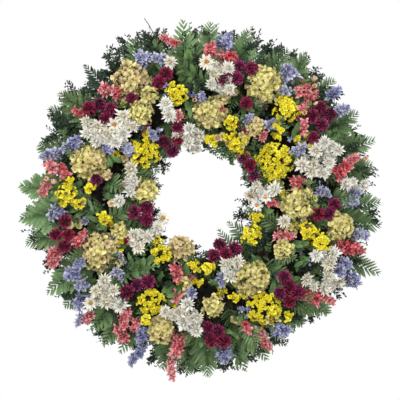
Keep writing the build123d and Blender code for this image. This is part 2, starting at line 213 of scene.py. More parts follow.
class Shape:
    def __init__(self, points, faces, marks, paint=0):
        self.points = points
        self.faces = faces
        self.marks = marks
        self.paints = np.broadcast_to(np.asarray(paint, int), (len(faces),)).copy()

    def painted(self, paint):
        return Shape(self.points, self.faces, self.marks, paint)


def joined(shapes):
    """One shape from several."""
    shapes = [shape for shape in shapes if len(shape.points)]
    starts = np.cumsum([0] + [len(shape.points) for shape in shapes[:-1]])
    return Shape(
        np.concatenate([shape.points for shape in shapes]),
        np.concatenate([shape.faces + start for shape, start in zip(shapes, starts)]),
        np.concatenate([shape.marks for shape in shapes]),
        np.concatenate([shape.paints for shape in shapes]),
    )


def placed(shape, origins, alongs, ups, sizes=1.0, tints=None):
    """Copies of a shape: its x runs along, its z points up, and each copy has a size and a tint."""
    origins = np.atleast_2d(origins)
    count = len(origins)
    x = unit(np.broadcast_to(alongs, (count, 3)))
    y = unit(np.cross(np.broadcast_to(ups, (count, 3)), x))
    z = np.cross(x, y)
    turns = np.stack([x, y, z], axis=1) * np.broadcast_to(sizes, (count,))[:, None, None]
    points = np.einsum("pi,nij->npj", shape.points, turns) + origins[:, None, :]
    marks = np.repeat(shape.marks[None], count, axis=0)
    if tints is not None:
        marks[:, :, 2] = np.broadcast_to(tints, (count,))[:, None]
    starts = np.arange(count) * len(shape.points)
    faces = (shape.faces[None] + starts[:, None, None]).reshape(-1, 4)
    return Shape(points.reshape(-1, 3), faces, marks.reshape(-1, 3), np.tile(shape.paints, count))


def grid_shape(points, marks, wrap=False):
    """A shape from a grid of points; wrap closes its columns into a tube."""
    rows, columns = points.shape[:2]
    number = np.arange(rows * columns).reshape(rows, columns)
    if wrap:
        number = np.concatenate([number, number[:, :1]], axis=1)
    faces = np.stack([number[:-1, :-1], number[1:, :-1], number[1:, 1:], number[:-1, 1:]], axis=-1)
    return Shape(points.reshape(-1, 3), faces.reshape(-1, 4), marks.reshape(-1, 3))


def petal(
    length, width, rows=3, columns=2, widest=0.5, blunt=0.5, bend=0.0, cup=0.0, ripple=0.0, waves=1.0
):
    """A petal or leaf along +x that faces +z. Bend curls it up along its length, cup across it."""
    u, v = np.meshgrid(np.linspace(0, 1, rows + 1), np.linspace(-1, 1, columns + 1), indexing="ij")
    power = 1.2 - blunt
    rise = (np.maximum(u, 1e-4) / widest) ** (power * widest)
    fall = (np.maximum(1 - u, 1e-4) / (1 - widest)) ** (power * (1 - widest))
    half = width / 2 * np.maximum(rise * fall, 0.07)
    if abs(bend) < 1e-6:
        along = length * u
        lift = np.zeros_like(u)
    else:
        along = length * np.sin(bend * u) / bend
        lift = length * (1 - np.cos(bend * u)) / bend
    lift = lift + cup * half * v**2 + ripple * np.sin(waves * 2 * math.pi * u + 2 * v) * u
    points = np.stack([along, half * v, lift], axis=-1)
    marks = np.stack([u, np.abs(v), np.full_like(u, 0.5)], axis=-1)
    return grid_shape(points, marks)


def tube(path, radii, sides=5, tint=0.5):
    """A stem along a path, closed to a point at both ends."""
    path = np.asarray(path, float)
    radii = np.broadcast_to(radii, (len(path),)).copy()
    tangents = unit(np.gradient(path, axis=0))
    helper = np.where(np.abs(tangents[:, 1:2]) > 0.9, [[1.0, 0.0, 0.0]], [[0.0, 1.0, 0.0]])
    sideways = unit(np.cross(tangents, helper))
    above = np.cross(sideways, tangents)
    path = np.concatenate([path[:1], path, path[-1:]])
    radii = np.concatenate([[radii[0] * 0.05], radii, [radii[-1] * 0.05]])
    sideways = np.concatenate([sideways[:1], sideways, sideways[-1:]])
    above = np.concatenate([above[:1], above, above[-1:]])
    turn = np.linspace(0, 2 * math.pi, sides, endpoint=False)
    circle = np.cos(turn)[:, None] * sideways[:, None] + np.sin(turn)[:, None] * above[:, None]
    points = path[:, None] + circle * radii[:, None, None]
    share = np.broadcast_to(np.linspace(0, 1, len(path))[:, None], points.shape[:2])
    marks = np.stack([share, np.zeros_like(share), np.full_like(share, tint)], axis=-1)
    return grid_shape(points, marks, wrap=True)


def ball(radii, rings=7, sides=10, lumps=0.0, along=0.0):
    """A lumpy ball with its poles on z."""
    polar = np.linspace(0.03, math.pi - 0.03, rings)
    turn = np.linspace(0, 2 * math.pi, sides, endpoint=False)
    p, t = np.meshgrid(polar, turn, indexing="ij")
    swell = 1 + lumps * rng.normal(size=p.shape)
    round_ball = np.stack([np.sin(p) * np.cos(t), np.sin(p) * np.sin(t), np.cos(p)], axis=-1)
    marks = np.stack([np.full_like(p, along), np.zeros_like(p), np.full_like(p, 0.5)], axis=-1)
    return grid_shape(round_ball * swell[..., None] * np.asarray(radii, float), marks, wrap=True)


def whorl(part, count, lift, ring=0.0, turn=0.0, height=0.0, jitter=0.0):
    """Copies of a part round +z, each tipped up by lift radians, starting on a small ring."""
    angles = turn + np.arange(count) * 2 * math.pi / count + jitter * rng.normal(size=count)
    lifts = lift + jitter * rng.normal(size=count)
    flat = np.stack([np.cos(angles), np.sin(angles), np.zeros(count)], axis=1)
    upright = np.array([0.0, 0.0, 1.0])
    alongs = flat * np.cos(lifts)[:, None] + upright * np.sin(lifts)[:, None]
    ups = upright * np.cos(lifts)[:, None] - flat * np.sin(lifts)[:, None]
    return placed(part, flat * ring + upright * height, alongs, ups, 1 + jitter * rng.normal(size=count))


def bowed(start, end, bow, steps=5):
    """Points from start to end, with the middle pushed aside by the vector bow."""
    share = np.linspace(0, 1, steps)[:, None]
    return np.asarray(start) * (1 - share) + np.asarray(end) * share + 4 * share * (1 - share) * bow


def stem(foot, top, thickness, tint=0.5, paint=1):
    """A flower's own stem, a little bowed."""
    steps = 5
    bow = rng.normal(size=3) * np.linalg.norm(np.subtract(top, foot)) * 0.04
    radii = np.linspace(thickness, thickness * 0.7, steps)
    return tube(bowed(foot, top, bow, steps), radii, tint=tint).painted(paint)


def dome_spots(count, face, widest_angle, jitter=0.1):
    """Directions spread over a dome about the way it faces."""
    share = (np.arange(count) + 0.5) / count
    polar = np.arccos(1 - share * (1 - math.cos(widest_angle))) + jitter * rng.normal(size=count) * 0.5
    turn = np.arange(count) * GOLDEN_ANGLE + rng.uniform(0, 6.28) + jitter * rng.normal(size=count)
    side = unit(np.cross(face, [0.3, 0.5, 0.81]))
    other = np.cross(face, side)
    flat = np.cos(turn)[:, None] * side + np.sin(turn)[:, None] * other
    return np.cos(polar)[:, None] * face + np.sin(polar)[:, None] * flat


def leaning(directions, spread):
    """Directions that are each knocked a little aside."""
    return unit(directions + rng.normal(size=np.shape(directions)) * spread)


def spun(ups):
    """A direction at random across each of the given ones."""
    return unit(np.cross(ups, rng.normal(size=np.shape(ups))))


def facing(direction):
    """The way that a flat thing along a direction faces when it is turned to the viewer, and its side."""
    normal = unit(FRONT - direction * np.dot(FRONT, direction))
    return normal, np.cross(normal, direction)


def one_of(kinds):
    return kinds[rng.integers(len(kinds))]


def varied(tint, spread, count):
    """Tints that differ a little from one tint."""
    return np.clip(tint + rng.normal(size=count) * spread, 0, 1)


# --- materials ---


def srgb(red, green, blue):
    """A colour as it looks on screen, 0 to 255, as the shader wants it."""
    screen = np.array([red, green, blue]) / 255
    linear = np.where(screen <= 0.04045, screen / 12.92, ((screen + 0.055) / 1.055) ** 2.4)
    return (*linear, 1.0)


def feed(tree, socket, value):
    """Links a socket to another node's output, or sets it to a plain value."""
    if isinstance(value, bpy.types.NodeSocket):
        tree.links.new(value, socket)
    else:
        socket.default_value = value


def ramp(tree, factor, positions, colours):
    """Runs through the colours as the factor passes their positions."""
    node = tree.nodes.new("ShaderNodeValToRGB")
    elements = node.color_ramp.elements
    stops = [(position, srgb(*colour)) for position, colour in zip(positions, colours)]
    elements[0].position, elements[0].color = stops[0]
    elements[1].position, elements[1].color = stops[-1]
    for position, colour in stops[1:-1]:
        elements.new(position).color = colour
    feed(tree, node.inputs["Fac"], factor)
    return node.outputs["Color"]


def mixed(tree, factor, first, second):
    node = tree.nodes.new("ShaderNodeMix")
    node.data_type = "RGBA"
    for number, value in ((0, factor), (6, first), (7, second)):
        feed(tree, node.inputs[number], value)
    return node.outputs[2]


def noise(tree, place, scale, detail=3.0):
    node = tree.nodes.new("ShaderNodeTexNoise")
    feed(tree, node.inputs["Scale"], scale)
    feed(tree, node.inputs["Detail"], detail)
    feed(tree, node.inputs["Vector"], place)
    return node.outputs["Fac"]


def remapped(tree, value, low, high):
    """A noise, which mostly lies between 0.3 and 0.7, spread from low to high."""
    node = tree.nodes.new("ShaderNodeMapRange")
    for name, number in (("From Min", 0.3), ("From Max", 0.7), ("To Min", low), ("To Max", high)):
        feed(tree, node.inputs[name], number)
    feed(tree, node.inputs["Value"], value)
    return node.outputs["Result"]


def combined(tree, operation, first, second=0.0):
    node = tree.nodes.new("ShaderNodeMath")
    node.operation = operation
    feed(tree, node.inputs[0], first)
    feed(tree, node.inputs[1], second)
    return node.outputs[0]


def roughen(tree, shader, height, strength, distance):
    """Gives a shader's surface small bumps."""
    bump = tree.nodes.new("ShaderNodeBump")
    feed(tree, bump.inputs["Strength"], strength)
    feed(tree, bump.inputs["Distance"], distance)
    feed(tree, bump.inputs["Height"], height)
    feed(tree, shader.inputs["Normal"], bump.outputs["Normal"])


def new_material(name):
    material = bpy.data.materials.new(name)
    material.use_nodes = True
    tree = material.node_tree
    place = tree.nodes.new("ShaderNodeTexCoord").outputs["Object"]
    return material, tree, tree.nodes["Principled BSDF"], place


def plant_material(name, stops, near, far, mottle=0.25, roughness=0.75, veins=0.4, patch=90.0):
    """A dry petal or leaf. Near and far are its colours at the stops from root to tip, at tint 0 and 1;
    their darkening towards the root is partly the plant's own colour and partly painted shade of the
    crevices where petals and leaves meet.
    """
    material, tree, shader, place = new_material(name)
    mark = tree.nodes.new("ShaderNodeAttribute")
    mark.attribute_name = "mark"
    split = tree.nodes.new("ShaderNodeSeparateXYZ")
    feed(tree, split.inputs["Vector"], mark.outputs["Vector"])
    along, across, tint = (split.outputs[axis] for axis in "XYZ")
    patches = remapped(tree, noise(tree, place, patch), 1 - mottle, 1 + mottle)
    grain = remapped(tree, noise(tree, place, 900.0), 1 - mottle / 2, 1 + mottle / 2)
    tone = tree.nodes.new("ShaderNodeHueSaturation")
    feed(tree, tone.inputs["Value"], combined(tree, "MULTIPLY", patches, grain))
    # colour runs from root to tip; the dark roots are partly painted shade
    colour = mixed(tree, tint, ramp(tree, along, stops, near), ramp(tree, along, stops, far))
    feed(tree, tone.inputs["Color"], colour)
    feed(tree, shader.inputs["Base Color"], tone.outputs["Color"])
    dullness = remapped(tree, noise(tree, place, 300.0), roughness - 0.12, roughness + 0.12)
    feed(tree, shader.inputs["Roughness"], dullness)
    feed(tree, shader.inputs["Specular IOR Level"], 0.3)
    vein = combined(tree, "SINE", combined(tree, "MULTIPLY", across, 16.0))
    height = combined(tree, "ADD", combined(tree, "MULTIPLY", vein, veins), noise(tree, place, 700.0))
    roughen(tree, shader, height, 0.5, 0.0006)
    return material


def wire_material(name, colour, worn, roughness, metallic, grain_scale):
    """Wire with a finish that is worn in places."""
    material, tree, shader, place = new_material(name)
    wear = noise(tree, place, grain_scale, detail=6.0)
    feed(tree, shader.inputs["Base Color"], ramp(tree, wear, (0.45, 0.72), (colour, worn)))
    feed(tree, shader.inputs["Metallic"], metallic)
    feed(tree, shader.inputs["Roughness"], remapped(tree, wear, roughness - 0.1, roughness + 0.15))
    roughen(tree, shader, noise(tree, place, grain_scale * 5), 0.25, 0.0003)
    return material


# The dark ochre root colours of the hydrangea are painted shade in the crevices between the florets.
HYDRANGEA = plant_material(
    "dry_hydrangea",
    (0, 0.35, 1),
    ((128, 98, 62), (194, 168, 126), (228, 208, 170)),
    ((132, 124, 54), (206, 197, 116), (236, 229, 160)),
    mottle=0.2,
)
# The everlasting petals darken from white to near-brown at the root: painted shade in the gaps between the
# petals.
EVERLASTING = plant_material(
    "dry_everlasting",
    (0, 0.2, 0.4, 1),
    ((62, 54, 28), (150, 138, 96), (238, 231, 206), (253, 249, 234)),
    ((70, 66, 40), (160, 154, 120), (248, 246, 236), (255, 255, 253)),
    mottle=0.1,
    roughness=0.6,
)
EYE = plant_material(
    "everlasting_eye",
    (0, 1),
    ((96, 50, 16), (190, 120, 40)),
    ((150, 92, 24), (226, 170, 70)),
    mottle=0.4,
    roughness=0.9,
    patch=500.0,
)
AMARANTH = plant_material(
    "dry_amaranth",
    (0, 0.5, 0.88, 1),
    ((44, 4, 16), (122, 14, 44), (162, 30, 68), (214, 110, 140)),
    ((46, 6, 32), (112, 20, 70), (150, 42, 104), (232, 164, 206)),
    mottle=0.35,
    roughness=0.6,
)
STATICE = plant_material(
    "dry_statice",
    (0, 0.4, 1),
    ((150, 122, 12), (238, 220, 26), (250, 238, 52)),
    ((172, 146, 18), (246, 232, 44), (254, 248, 104)),
    mottle=0.14,
    roughness=0.65,
)
CORAL = plant_material(
    "dry_larkspur_coral",
    (0, 0.4, 1),
    ((100, 14, 26), (202, 62, 78), (230, 116, 122)),
    ((146, 48, 62), (230, 134, 144), (252, 218, 208)),
)
BLUE = plant_material(
    "dry_larkspur_blue",
    (0, 0.4, 1),
    ((44, 42, 84), (122, 124, 176), (174, 179, 216)),
    ((76, 72, 104), (170, 170, 198), (224, 226, 238)),
    mottle=0.28,
)
BUD = plant_material(
    "dry_buds",
    (0, 0.5, 1),
    ((206, 146, 116), (240, 200, 174), (250, 228, 210)),
    ((176, 160, 70), (236, 220, 130), (246, 238, 176)),
    mottle=0.15,
)
FERN = plant_material(
    "preserved_fern",
    (0, 0.35, 1),
    ((66, 92, 54), (114, 148, 96), (144, 174, 124)),
    ((44, 58, 34), (74, 94, 52), (102, 122, 72)),
    mottle=0.24,
    roughness=0.62,
    veins=0.8,
)
LEAF = plant_material(
    "dry_leaf",
    (0, 0.5, 1),
    ((54, 82, 42), (88, 126, 68), (108, 144, 84)),
    ((62, 72, 48), (100, 114, 80), (128, 138, 100)),
    mottle=0.22,
    roughness=0.62,
    veins=0.8,
)
DARK_LEAF = plant_material(
    "dark_greens",
    (0, 0.5, 1),
    ((24, 34, 24), (40, 58, 42), (60, 82, 62)),
    ((32, 42, 32), (60, 78, 60), (92, 110, 88)),
    mottle=0.3,
    roughness=0.68,
)
# The bunch greens are partly their own dark colour and partly painted shade: the core takes the near-black
# root colour, and the leaves are darkened so the gaps between the flowers read dark.
BED_LEAF_AND_SHADE = plant_material(
    "bunch_greens_and_shade",
    (0, 0.5, 1),
    ((20, 18, 14), (36, 46, 28), (56, 74, 44)),
    ((36, 24, 20), (56, 40, 30), (86, 62, 46)),
    mottle=0.35,
)
STEM = plant_material(
    "dry_stems",
    (0, 1),
    ((78, 62, 40), (104, 100, 58)),
    ((70, 80, 44), (110, 124, 74)),
    roughness=0.7,
)
ENAMEL = wire_material("green_enamelled_wire", (38, 62, 42), (84, 92, 74), 0.4, 0.0, 60.0)
FLORIST_WIRE = wire_material("green_florist_wire", (48, 74, 50), (96, 100, 84), 0.45, 0.0, 90.0)
STEEL = wire_material("annealed_steel", (196, 196, 192), (140, 136, 128), 0.35, 1.0, 120.0)

for node, obj in nodes.items():
    finish = ENAMEL if node.startswith("frame_") else FLORIST_WIRE
    if node == "hanging_loop":
        finish = STEEL
    obj.data.materials.clear()
    obj.data.materials.append(finish)


# --- turning shapes into pieces of the wreath ---


def publish(name, shape, paints, node):
    """Writes a shape as a mesh that stands for a CAD node and rides on the wreath."""
    mesh = bpy.data.meshes.new(name)
    mesh.vertices.add(len(shape.points))
    mesh.vertices.foreach_set("co", (shape.points * MM).ravel())
    mesh.loops.add(shape.faces.size)
    mesh.loops.foreach_set("vertex_index", shape.faces.ravel())
    mesh.polygons.add(len(shape.faces))
    mesh.polygons.foreach_set("loop_start", np.arange(0, shape.faces.size, 4))
    mesh.polygons.foreach_set("material_index", shape.paints)
    mesh.update(calc_edges=True)
    mesh.attributes.new("mark", "FLOAT_VECTOR", "POINT").data.foreach_set("vector", shape.marks.ravel())
    for material in paints:
        mesh.materials.append(material)
    mesh.shade_smooth()
    piece = bpy.data.objects.new(name, mesh)
    bpy.context.scene.collection.objects.link(piece)
    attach(piece, "wreath")
    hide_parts(node)


# --- hydrangea: a dome of broad four-petalled florets ---


def hydrangea_floret():
    sepals = []
    for number in range(4):
        broad = petal(
            rng.uniform(8.2, 9.8),
            rng.uniform(8.0, 9.8),
            rows=4,
            columns=4,
            widest=0.62,
            blunt=0.72,
            bend=rng.uniform(-0.3, 1.1),
            cup=rng.uniform(-0.5, 0.6),
            ripple=rng.uniform(0.7, 1.7),
            waves=rng.uniform(0.7, 1.6),
        )
        sepals.append(whorl(broad, 1, rng.uniform(-0.3, 0.75), ring=0.6, turn=number * math.pi / 2))
    return joined([*sepals, ball((1.0, 1.0, 1.1), 4, 6, along=0.1)])


HYDRANGEA_FLORETS = [hydrangea_floret() for _ in range(9)]
HYDRANGEA_TINTS = {1: 0.8, 3: 0.4, 9: 0.6, 10: 0.35, 11: 0.6, 13: 1.0, 14: 0.75, 15: 0.95, 16: 0.3}
USUAL_HYDRANGEA_TINT = 0.85
SMALL_HEAD = 16  # a head with a smaller radius than this has smaller florets

heads = sorted(node for node in nodes if node.startswith("hydrangea_head_"))
for number, node in enumerate(heads, start=1):
    foot, top, face, radius = head_of(solids_of(node)[0])
    middle = top - face * radius
    count = int(0.088 * radius**2 + 10)
    directions = dome_spots(count, face, 1.75)
    tint = HYDRANGEA_TINTS.get(number, USUAL_HYDRANGEA_TINT)
    lobes = unit(rng.normal(size=(6, 3)) + face)
    swell = 0.84 + 0.2 * (np.maximum(directions @ lobes.T, 0) ** 6).max(axis=1)
    lift = swell * rng.uniform(0.84, 1.13, size=count) * radius
    pieces = [stem(foot, middle, 1.8)]
    # The core ball takes the darkest root colour: the head's inner stalks, darkened as painted shade, and it
    # fills the holes between the florets.
    core = ball(np.array([0.7, 0.7, 0.62]) * radius, 9, 16, lumps=0.05)
    pieces.append(placed(core, middle, np.cross(face, [0.2, 0.4, 0.9]), face, tints=tint))
    kinds = rng.integers(0, len(HYDRANGEA_FLORETS), size=count)
    sizes = rng.uniform(0.72, 1.15, size=count) * (1.0 if radius > SMALL_HEAD else 0.85)
    for kind, floret in enumerate(HYDRANGEA_FLORETS):
        chosen = kinds == kind
        if not chosen.any():
            continue
        ups = leaning(directions[chosen], 0.42)
        spins = spun(ups)
        origins = middle + directions[chosen] * lift[chosen, None]
        pieces.append(placed(floret, origins, spins, ups, sizes[chosen], varied(tint, 0.2, chosen.sum())))
    publish(f"hydrangea_{number:02}", joined(pieces), [HYDRANGEA, STEM], node)


# --- everlasting daisies: rows of pointed papery petals, a few of them open on an amber eye ---

# clock and reach of the flowers that are open
OPEN_FLOWERS = ((4, 228), (85, 82), (88, 104), (244, 71), (312, 189), (219, 231), (227, 252), (95, 92))
# length and width of the petals, how many, and how steeply they stand, in radians
EVERLASTING_ROWS = (
    (11.8, 2.7, 16, -0.2),
    (12.2, 2.7, 16, 0.12),
    (11.2, 2.6, 15, 0.42),
    (9.8, 2.5, 13, 0.72),
)
INNER_ROWS = (
    (8.2, 2.4, 11, 1.0),
    (6.8, 2.3, 9, 1.25),
)


def everlasting_flower(openness):
    """Openness 0 closes the inner petals over the middle, and 1 opens them round the eye."""
    rows = []
    for length, width, count, lift in EVERLASTING_ROWS:
        pointed = petal(length, width, 3, 2, 0.45, 0.1, bend=0.3, cup=0.5)
        spread = lift * (1 - 0.45 * openness)
        rows.append(whorl(pointed, count, spread, ring=1.3, height=lift, jitter=0.16))
    if openness < 0.5:
        for length, width, count, lift in INNER_ROWS:
            curled = petal(length, width, 4, 2, 0.5, 0.1, bend=0.9, cup=0.5)
            rows.append(whorl(curled, count, lift, ring=2.2, height=1.6, jitter=0.2))
    eye = ball((3.4, 3.4, 1.8), 6, 12, lumps=0.06, along=0.6)
    if openness > 0.5:
        eye = eye.painted(1)
    eye.points[:, 2] += 2.0
    under = ball((2.6, 2.6, 2.2), 5, 10, along=0.15)
    under.points[:, 2] -= 1.0
    return joined(rows + [eye, under])


CLUSTER_GAP = 38  # smaller flowers stand between heads that are nearer to each other than this
SIDE_FLOWERS = 4
FLOWER_TOP = 5.5  # from the middle of a flower to its top
CLOSED_KINDS = [everlasting_flower(openness) for openness in (-0.3, -0.1, 0, 0, 0.1, 0.2)]
OPEN_KINDS = [everlasting_flower(1.0) for _ in range(2)]

for quarter in QUARTERS:
    node = f"everlastings_{quarter}"
    solids = solids_of(node)
    tops = np.array([head_of(points)[1] for points in solids])
    for number, points in enumerate(solids, start=1):
        foot, top, face, _ = head_of(points)
        up = leaning(face, 0.24)
        spin = spun(up)
        size = rng.uniform(0.82, 1.04)
        origin = top - face * FLOWER_TOP
        tint = rng.uniform(0.1, 1)
        kind = one_of(OPEN_KINDS if stands_at(top, OPEN_FLOWERS, 9) else CLOSED_KINDS)
        pieces = [placed(kind, origin, spin, up, size, tint), stem(foot, origin - face * 1.5, 0.9, paint=2)]
        away = np.linalg.norm(tops - top, axis=1)
        near = tops[(away > 1) & (away < CLUSTER_GAP)]
        for neighbour in near[:SIDE_FLOWERS]:
            place = origin + (neighbour - top) * 0.48 + rng.normal(size=3) * 3 - face * rng.uniform(1, 6)
            tilt = leaning(face, 0.4)
            spin = spun(tilt)
            kind = one_of(CLOSED_KINDS)
            pieces.append(placed(kind, place, spin, tilt, rng.uniform(0.45, 0.7), tint))
            pieces.append(stem(origin - face * 16, place - tilt, 0.7, paint=2))
        name = f"everlasting_{quarter}_{number:02}"
        publish(name, joined(pieces), [EVERLASTING, EYE, STEM], node)


# --- globe amaranths: egg-shaped heads of small keeled bracts ---

BRACTS = 130
HEAD_TOP = 9.5  # from the middle of a head to its top


def amaranth_head():
    up = np.array([0.0, 0.0, 1.0])
    directions = dome_spots(BRACTS, up, 2.75, jitter=0.3)
    origins = directions * np.array([5.2, 5.2, 6.2]) * rng.uniform(0.85, 1.12, size=(BRACTS, 1))
    flat = unit(directions * [1, 1, 0])
    tip_angle = (0.1 + 0.92 * np.arccos(directions[:, 2]))[:, None] + rng.normal(size=(BRACTS, 1)) * 0.22
    alongs = leaning(up * np.cos(tip_angle) + flat * np.sin(tip_angle), 0.14)
    faces = flat * np.cos(tip_angle) - up * np.sin(tip_angle)
    bract = petal(6.4, 2.5, 3, 2, 0.4, 0.1, bend=0.3, cup=-0.6)
    core = ball((5.4, 5.4, 6.4), 8, 12, lumps=0.05)
    bottom_leaf = petal(7, 5, 3, 2, 0.45, 0.3, bend=0.6)
    cup = placed(bottom_leaf, [[0, 0, -8.0]] * 2, [[1, 0, 0.2], [-1, 0, 0.2]], up)
    return joined([placed(bract, origins, alongs, faces), core, cup.painted(1)])


AMARANTH_KINDS = [amaranth_head() for _ in range(4)]

for node, ending, points in planted("globe_amaranths"):
    foot, top, face, _ = head_of(points)
    up = leaning(face, 0.3)
    spin = spun(up)
    middle = top - face * HEAD_TOP
    head = placed(one_of(AMARANTH_KINDS), middle, spin, up, rng.uniform(0.95, 1.16), rng.uniform(0, 1))
    pieces = [head, stem(foot, middle - face * 7, 1.0, tint=0.8)]
    publish(f"amaranth_{ending}", joined(pieces), [AMARANTH, STEM], node)


# --- statice: clumps of small ruffled florets on forked stems, with dark gaps between them ---


def statice_clump():
    """A handful of florets on one twig's end, facing +z, about 11 mm across."""
    ruffled = petal(3.9, 4.0, 2, 2, 0.65, 0.75, bend=0.5, cup=0.3, ripple=0.4, waves=1.5)
    floret = joined([whorl(ruffled, 5, 0.35, ring=0.3, jitter=0.15), ball((0.8, 0.8, 1.6), 4, 5, along=0.2)])
    count = rng.integers(4, 7)
    turn = rng.uniform(0, 6.28) + np.arange(count) * 2.4
    away = np.sqrt(np.arange(count) / count) * 4.8
    spots = np.stack([away * np.cos(turn), away * np.sin(turn), rng.uniform(-1.5, 1.0, count)], axis=1)
    ups = leaning(unit(spots * [0.13, 0.13, 0] + [0, 0, 1]), 0.2)
    spins = spun(ups)
    return placed(floret, spots, spins, ups, rng.uniform(0.8, 1.15, count), rng.uniform(0, 1, count))


STATICE_CLUMPS = [statice_clump() for _ in range(6)]
STATICE_RISE = 0.47  # the height of a spray's domed top as a share of its radius

for node, ending, points in planted("yellow_statice"):
    foot, top, face, radius = head_of(points)
    dome = (radius**2 + (STATICE_RISE * radius) ** 2) / (2 * STATICE_RISE * radius)
    middle = top - face * dome
    widest = math.asin(min(0.98, radius / dome)) + 0.12
    count = max(2, round(radius**2 * 0.05))
    directions = dome_spots(count, face, widest, jitter=0.16)
    fork = top - face * max(8, 0.75 * radius)
    pieces = [stem(foot, fork, 1.2, tint=0.6)]
    for direction in directions:
        place = middle + direction * (dome + rng.uniform(-3.5, 0.5))
        up = leaning(direction, 0.2)
        spin = spun(up)
        pieces.append(placed(one_of(STATICE_CLUMPS), place, spin, up, rng.uniform(0.85, 1.12)))
        pieces.append(tube(bowed(fork, place - up, face * -1.5, 4), 0.5, 4, tint=0.7).painted(1))
    publish(f"statice_{ending}", joined(pieces), [STATICE, STEM], node)


# --- larkspur: five-petalled florets up a spike, with buds at its tip ---


def larkspur_floret(spread):
    sepal = petal(9.2, 4.6, 3, 2, 0.6, 0.35, bend=rng.uniform(0.1, 0.7), cup=0.4, ripple=0.8)
    inner = petal(4.2, 2.8, 2, 2, 0.6, 0.5, bend=0.6, cup=0.4)
    spur = tube([[0, 0, 0], [-1.0, 0, -3.0], [-1.5, 0, -6.5]], [1.2, 0.8, 0.3], 5)
    return joined(
        [
            whorl(sepal, 5, spread, ring=0.7, jitter=0.24),
            whorl(inner, 4, spread + 0.6, ring=0.3, height=0.5, jitter=0.2),
            spur,
        ]
    )


def closed_bud(length, width):
    part = petal(length, width * 0.95, 4, 2, 0.45, 0.4, bend=0.5, cup=0.9)
    return whorl(part, 5, 1.1, ring=width * 0.17, jitter=0.06)


LARKSPUR_FLORETS = [larkspur_floret(spread) for spread in (0.25, 0.4, 0.6, 0.9)]
LARKSPUR_BUD = closed_bud(6.5, 4.6)
TIP_BUDS = 4


def spike_of(points):
    """Foot of the stalk, lower end, tip and thickness of a larkspur spike."""
    foot = foot_of(points)
    spread = np.linalg.norm(points - foot, axis=1)
    rims = points[spread > 0.55 * spread.max()]
    for _ in range(2):
        one, two, width = long_ends(rims)
        line = unit(two - one)
        reach_along = (points - one) @ line
        off = np.linalg.norm((points - one) - np.outer(reach_along, line), axis=1)
        inside = (off < 0.75 * width) & (reach_along > -2) & (reach_along < np.linalg.norm(two - one) + 2)
        rims = points[inside]
    first, second = (one, two) if np.linalg.norm(one - foot) < np.linalg.norm(two - foot) else (two, one)
    return foot, first, second, width


def spray_of_florets(lower, tip, thickness, tint):
    run = tip - lower
    length = np.linalg.norm(run)
    direction = run / length
    count = int(7 + 0.036 * thickness * length)
    share = (np.arange(count) + 0.5) / count
    turn = np.arange(count) * GOLDEN_ANGLE + rng.uniform(0, 6.28)
    side = unit(np.cross(direction, FRONT))
    other = np.cross(side, direction)
    round_axis = np.cos(turn)[:, None] * side + np.sin(turn)[:, None] * other
    swell = (0.62 - 0.3 * share**2)[:, None]
    origins = lower + run * share[:, None] * 0.92 + round_axis * (thickness * swell - 4.5)
    ups = leaning(unit(round_axis + direction * 0.3), 0.34)
    spins = spun(ups)
    sizes = (1.06 - 0.3 * share) * rng.uniform(0.8, 1.15, count) * (0.8 + 0.012 * thickness)
    kinds = np.clip((share * 3.2 + rng.uniform(-0.8, 0.8, count)).astype(int), 0, 3)
    tints = varied(tint, 0.36, count)
    pieces = []
    for kind, floret in enumerate(LARKSPUR_FLORETS):
        chosen = kinds == kind
        if chosen.any():
            picked = [values[chosen] for values in (origins, spins, ups, sizes, tints)]
            pieces.append(placed(floret, *picked))
    bud_places = lower + run * np.linspace(0.8, 1.0, TIP_BUDS)[:, None]
    bud_ups = leaning(np.tile(direction, (TIP_BUDS, 1)), 0.45)
    spins = spun(bud_ups)
    bud_sizes = rng.uniform(0.6, 0.9, TIP_BUDS)
    return pieces + [placed(LARKSPUR_BUD, bud_places, spins, bud_ups, bud_sizes, tint)]


BARE_STALK_NODE = "coral_larkspur_top_left"
BARE_STALK = ((344, 255, 30), (342.5, 318, 34))  # clock, reach and depth of its root and its tip

for colour, paint, tints in (("coral", CORAL, (0.2, 0.85)), ("blue", BLUE, (0.35, 1.0))):
    for node, ending, points in planted(f"{colour}_larkspur"):
        foot, lower, tip, thickness = spike_of(points)
        pieces = spray_of_florets(lower, tip, thickness, rng.uniform(*tints))
        pieces.append(stem(lower - (tip - lower) * 0.05, tip, 0.9, tint=0.9))
        pieces.append(stem(foot, lower * 0.6 + tip * 0.4, 1.1, tint=0.9))
        if node == BARE_STALK_NODE and clock_of(tip) > BARE_STALK[0][0]:
            bare_root, bare_tip = (spot(*place) for place in BARE_STALK)
            bow = FRONT * 3 + outward(clock_of(bare_tip) + 90) * 4
            pieces.append(tube(bowed(bare_root, bare_tip, bow, 6), 0.75, 5, tint=0.1).painted(1))
        publish(f"larkspur_{colour}_{ending}", joined(pieces), [paint, STEM], node)


# --- peach and cream buds ---

PALE_BUDS = ((50, 222), (59, 200))  # clock and reach
BUD_LENGTH = 12
BUD_KINDS = [closed_bud(BUD_LENGTH, 8.6), closed_bud(BUD_LENGTH + 1, 8.0)]

for number, points in enumerate(solids_of("larkspur_buds"), start=1):
    foot, top, face, _ = head_of(points)
    up = leaning(face, 0.35)
    spin = spun(up)
    base = top - face * BUD_LENGTH
    tint = 0.95 if stands_at(top, PALE_BUDS, 8) else rng.uniform(0, 0.3)
    pieces = [placed(BUD_KINDS[number % 2], base, spin, up, 1.0, tint), stem(foot, base, 0.8, tint=0.9)]
    publish(f"bud_{number:02}", joined(pieces), [BUD, STEM], "larkspur_buds")


# --- fern fronds: leaflets in pairs along a midrib ---

LEAFLET_LENGTH = 30
TEETH = 8


